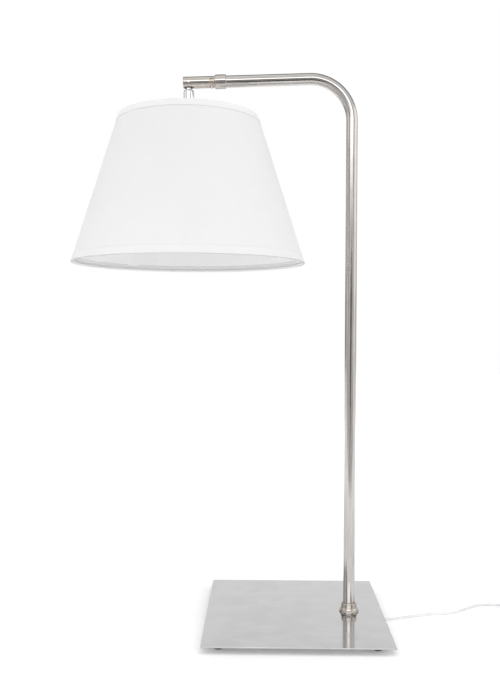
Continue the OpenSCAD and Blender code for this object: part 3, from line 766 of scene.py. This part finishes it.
def tape(name, top, material):
    """Folded tape over a rim: down the outside, round the rim and its wire, and back under the wire."""
    if top:
        h, edge = 0.0135, SHADE_TOP
        path = [(0.5, -h), (0.06, -h + 0.0003), (0.0, -h + 0.0012), (0.0, -0.009), (0.0, -0.004), (0.0, -0.0012), (0.25, -0.0004), (0.9, 0.0), (1.9, 0.0), (3.2, -0.0001), (4.4, -0.0004), (5.2, -0.0012), (5.4, -0.0022), (5.1, -0.0034), (4.2, -0.0042), (3.0, -0.0048), (2.2, -0.0056), (2.0, -0.0070), (2.0, -0.0105), (1.9, -0.0109), (1.9, -0.0040), (3.0, -0.0036), (4.6, -0.0030), (4.6, -0.0014), (3.0, -0.0008), (0.9, -0.0007), (0.5, -0.0015)]
    else:
        h, edge = 0.0155, SHADE_LOW
        path = [(0.5, h), (0.06, h - 0.0003), (0.0, h - 0.0012), (0.0, 0.010), (0.0, 0.005), (0.0, 0.0016), (0.25, 0.0006), (0.9, 0.0), (1.9, 0.0), (3.2, 0.0), (4.4, 0.0003), (5.2, 0.0011), (5.4, 0.0022), (5.1, 0.0034), (4.2, 0.0042), (3.0, 0.0048), (2.2, 0.0056), (2.0, 0.0070), (2.0, 0.0125), (1.9, 0.0129), (1.9, 0.0040), (3.0, 0.0036), (4.6, 0.0030), (4.6, 0.0014), (3.0, 0.0008), (0.9, 0.0007), (0.5, 0.0015)]
    shape = [(cone_r(edge + dz) - inset * MM, edge + dz) for inset, dz in path]
    shape = rounded([(r, z) for r, z in shape], 0.0005, 3)
    rings = []
    for r, z in shape:
        rings.append([Vector((SHADE_X + r * math.cos(SEAM + 2 * math.pi * k / SEG), r * math.sin(SEAM + 2 * math.pi * k / SEG), z)) for k in range(SEG)])
    n, m = len(rings), SEG
    along = [0.0]
    for i in range(1, n + 1):
        along.append(along[-1] + (rings[i % n][0] - rings[i - 1][0]).length)
    faces, uvs = [], []
    for i in range(n):
        j = (i + 1) % n
        for k in range(m):
            l = (k + 1) % m
            faces.append((i * m + k, i * m + l, j * m + l, j * m + k))
            uvs += [(1.2 * k / m, along[i]), (1.2 * (k + 1) / m, along[i]), (1.2 * (k + 1) / m, along[i + 1]), (1.2 * k / m, along[i + 1])]
    o = piece(name, [p for ring in rings for p in ring], faces, material, "head", uvs, 60)
    outward(o)
    return o


cloth = drum("shade_cover", SHADE_LOW + 0.0012, SHADE_TOP - 0.0012, 0.0013, 0.0005, M["cloth"], lap=0.012, lift=0.00045)
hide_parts("shade_fabric")
liner = drum("shade_lining", SHADE_LOW + 0.0012, SHADE_TOP - 0.0012, 0.0019, 0.0013, M["liner"], lap=0.019, lift=-0.0005)
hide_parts("shade_liner")
top_tape = tape("top_binding", True, M["tape"])
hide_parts("shade_top_trim")
low_tape = tape("bottom_binding", False, M["low_tape"])
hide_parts("shade_bottom_trim")

# ---------------------------------------------------------------- materials of the CAD nodes that stay
finish = {
    "foot_screws": "zinc", "stem_insert": "zinc", "mount_nipple": "brass_bare", "mount_washer": "zinc", "mount_nut": "zinc",
    "collar_screw": "black_steel", "swivel_core": "core", "stop_screw": "zinc", "stem_lead": "lead", "cord_elbow": "plug",
    "end_tube": "turned_arm", "pivot_pin": "turned_arm", "neck_knuckle": "zinc", "neck_washer": "polished", "neck_nipple": "brass_bare",
    "neck_sleeve": "polished", "head_lead": "lead", "shade_spider": "white_wire", "shade_bottom_ring": "white_wire",
    "socket_cap": "brass_shell", "nipple_nut": "zinc", "socket_shell": "brass_shell", "socket_sleeve": "card", "socket_body": "porcelain",
    "screw_shell": "brass_bare", "centre_contact": "brass_bare", "terminal_screws": "brass_bare", "switch_shaft": "brass_bare",
    "switch_knob": "knob", "bulb_cap": "bulb_metal", "bulb_tip": "zinc", "bulb_glass": "bulb", "plug_blades": "brass_bare",
}
for name, key in finish.items():
    o = nodes[name]
    o.data.materials.clear()
    o.data.materials.append(M[key])
for name, width in {"plug_blades": 0.2, "mount_nut": 0.3, "switch_knob": 0.15, "foot_screws": 0.1}.items():
    b = nodes[name].modifiers.new("edges", "BEVEL")
    b.width, b.segments, b.limit_method, b.angle_limit = width * MM, 2, "ANGLE", math.radians(40)

# ---------------------------------------------------------------- floor, surroundings and light
floor_mesh = bpy.data.meshes.new("floor")
front, far, wide = -1.12, 7.0, 7.0
floor_mesh.from_pydata([(-wide, front, 0), (wide, front, 0), (wide, far, 0), (-wide, far, 0)], [], [(0, 1, 2, 3)])
floor = bpy.data.objects.new("floor", floor_mesh)
scene.collection.objects.link(floor)
n = Nodes("floor_white_painted_glow")
grain = n.noise(n.place((3, 3, 3)), 1.0, 3.0, 0.5)
n.finish(Base_Color=n.mix(grain, (0.92, 0.92, 0.92), (0.94, 0.94, 0.94)), Roughness=0.9, Specular_IOR_Level=0.2)
# the floor glows, weakly near the lamp and more strongly farther out: painted light that keeps the open floor white
# while the shade near the base stays visible
n.bsdf.inputs["Emission Color"].default_value = (1, 1, 1, 1)
away = n.tree.nodes.new("ShaderNodeVectorMath")
away.operation = "LENGTH"
n.tree.links.new(n.place((1, 1, 1)), away.inputs[0])
n.tree.links.new(n.ramp(away.outputs["Value"], 0.5, 1.6, 0.09, 0.30), n.bsdf.inputs["Emission Strength"])
floor_mesh.materials.append(n.material)

world = bpy.data.worlds.new("studio")
scene.world = world
world.use_nodes = True
wt = world.node_tree
wt.nodes.clear()


def w_math(kind, a, b=0.0):
    m = wt.nodes.new("ShaderNodeMath")
    m.operation = kind
    for i, v in enumerate((a, b)):
        if isinstance(v, bpy.types.NodeSocket):
            wt.links.new(v, m.inputs[i])
        else:
            m.inputs[i].default_value = v
    return m.outputs[0]


def w_ramp(value, low, high, to_low, to_high):
    m = wt.nodes.new("ShaderNodeMapRange")
    m.interpolation_type = "SMOOTHSTEP"
    for i, v in enumerate((value, low, high, to_low, to_high)):
        if isinstance(v, bpy.types.NodeSocket):
            wt.links.new(v, m.inputs[i])
        else:
            m.inputs[i].default_value = v
    return m.outputs[0]


way = wt.nodes.new("ShaderNodeTexCoord")
xyz = wt.nodes.new("ShaderNodeSeparateXYZ")
wt.links.new(way.outputs["Generated"], xyz.inputs[0])
flat = w_math("SQRT", w_math("MAXIMUM", w_math("SUBTRACT", 1.0, w_math("MULTIPLY", xyz.outputs[2], xyz.outputs[2])), 0.0001))
facing = w_math("DIVIDE", w_math("MULTIPLY", xyz.outputs[1], -1.0), flat)
high = xyz.outputs[2]
side = w_math("DIVIDE", xyz.outputs[0], flat)


def w_band(value, low, high, soft):
    return w_math("MULTIPLY", w_ramp(value, low - soft, low + soft, 0.0, 1.0), w_ramp(value, high - soft, high + soft, 1.0, 0.0))


# level of the walls by height, then a front light, two gaps beside it, a dark room behind the
# camera, and a darker room beyond the white paper behind the lamp
walls = w_ramp(high, -0.04, 0.20, 0.70, 1.10)
ceiling = w_math("ADD", w_ramp(high, 0.40, 0.52, 0.0, -0.15), w_ramp(high, 0.78, 0.97, 0.0, 0.15))
level = w_math("ADD", walls, ceiling)
ahead = w_ramp(facing, 0.0, 0.2, 0.0, 1.0)
softbox = w_math("MULTIPLY", ahead, w_math("MULTIPLY", w_band(side, -0.60, 0.38, 0.03), w_band(high, 0.215, 0.47, 0.03)))
level = w_math("ADD", level, w_math("MULTIPLY", softbox, 1.7))
gaps = w_math("ADD", w_band(side, -0.84, -0.64, 0.03), w_band(side, 0.42, 0.62, 0.03))
gaps = w_math("MULTIPLY", w_math("MULTIPLY", gaps, ahead), w_band(high, 0.05, 0.45, 0.06))
level = w_math("MULTIPLY", level, w_math("SUBTRACT", 1.0, w_math("MULTIPLY", gaps, 0.62)))
strip = w_math("MULTIPLY", w_band(side, 0.82, 2.0, 0.04), w_band(high, -0.15, 0.5, 0.06))
level = w_math("ADD", level, w_math("MULTIPLY", strip, 0.45))
corner = w_math("MULTIPLY", w_band(facing, -0.84, -0.30, 0.05), w_band(high, -0.3, 0.8, 0.08))
above = w_math("MULTIPLY", w_ramp(facing, -0.35, -0.05, 1.0, 0.0), w_math("MULTIPLY", w_ramp(high, 0.46, 0.52, 0.0, 1.0), w_ramp(high, 0.965, 0.985, 1.0, 0.0)))
behind = w_math("MAXIMUM", w_math("MULTIPLY", corner, 0.45), w_math("MULTIPLY", above, 0.78))
level = w_math("MULTIPLY", level, w_math("SUBTRACT", 1.0, behind))
low_room = w_math("MAXIMUM", w_ramp(high, -0.27, -0.23, 1.0, 0.0), w_band(high, -0.13, 0.12, 0.025))
room = w_math("MULTIPLY", w_ramp(facing, 0.945, 0.985, 0.0, 1.0), low_room)
level = w_math("MULTIPLY", level, w_math("SUBTRACT", 1.0, w_math("MULTIPLY", room, 0.80)))
around = wt.nodes.new("ShaderNodeBackground")
around.inputs["Color"].default_value = (1.0, 0.998, 1.0, 1)
wt.links.new(level, around.inputs["Strength"])
white = wt.nodes.new("ShaderNodeBackground")
white.inputs["Color"].default_value = (1, 1, 1, 1)
white.inputs["Strength"].default_value = 1.0
seen = wt.nodes.new("ShaderNodeLightPath")
pick = wt.nodes.new("ShaderNodeMixShader")
wt.links.new(seen.outputs["Is Camera Ray"], pick.inputs[0])
wt.links.new(around.outputs[0], pick.inputs[1])
wt.links.new(white.outputs[0], pick.inputs[2])
world_out = wt.nodes.new("ShaderNodeOutputWorld")
wt.links.new(pick.outputs[0], world_out.inputs["Surface"])


def area(name, place, aim, size, watts, colour=(1, 1, 1)):
    data = bpy.data.lights.new(name, "AREA")
    data.shape, data.size, data.size_y = "RECTANGLE", size[0], size[1]
    data.energy, data.color = watts, colour
    o = bpy.data.objects.new(name, data)
    scene.collection.objects.link(o)
    o.location = place
    o.rotation_mode = "QUATERNION"
    o.rotation_quaternion = (Vector(aim) - Vector(place)).to_track_quat("-Z", "Y")
    return o


for hidden in (
    area("overhead", (0.1, -0.2, 3.4), (0.1, 0.1, 0), (3.4, 2.6), 26),
    area("paper_bounce", (0.1, 2.6, 1.25), (0.1, 0, 0.1), (4.5, 0.7), 26),
    area("floor_bounce", (-0.2, -1.0, 0.06), (-0.08, 0.1, 0.8), (1.4, 0.5), 4.5),
    area("fill_left", (-2.4, -0.2, 1.0), (-0.1, 0, 0.8), (1.5, 1.5), 5),
    area("fill_right", (2.4, -0.2, 1.0), (-0.1, 0, 0.8), (1.5, 1.5), 4),
):
    hidden.visible_camera = hidden.visible_glossy = False

# ---------------------------------------------------------------- end
bpy.context.view_layer.update()
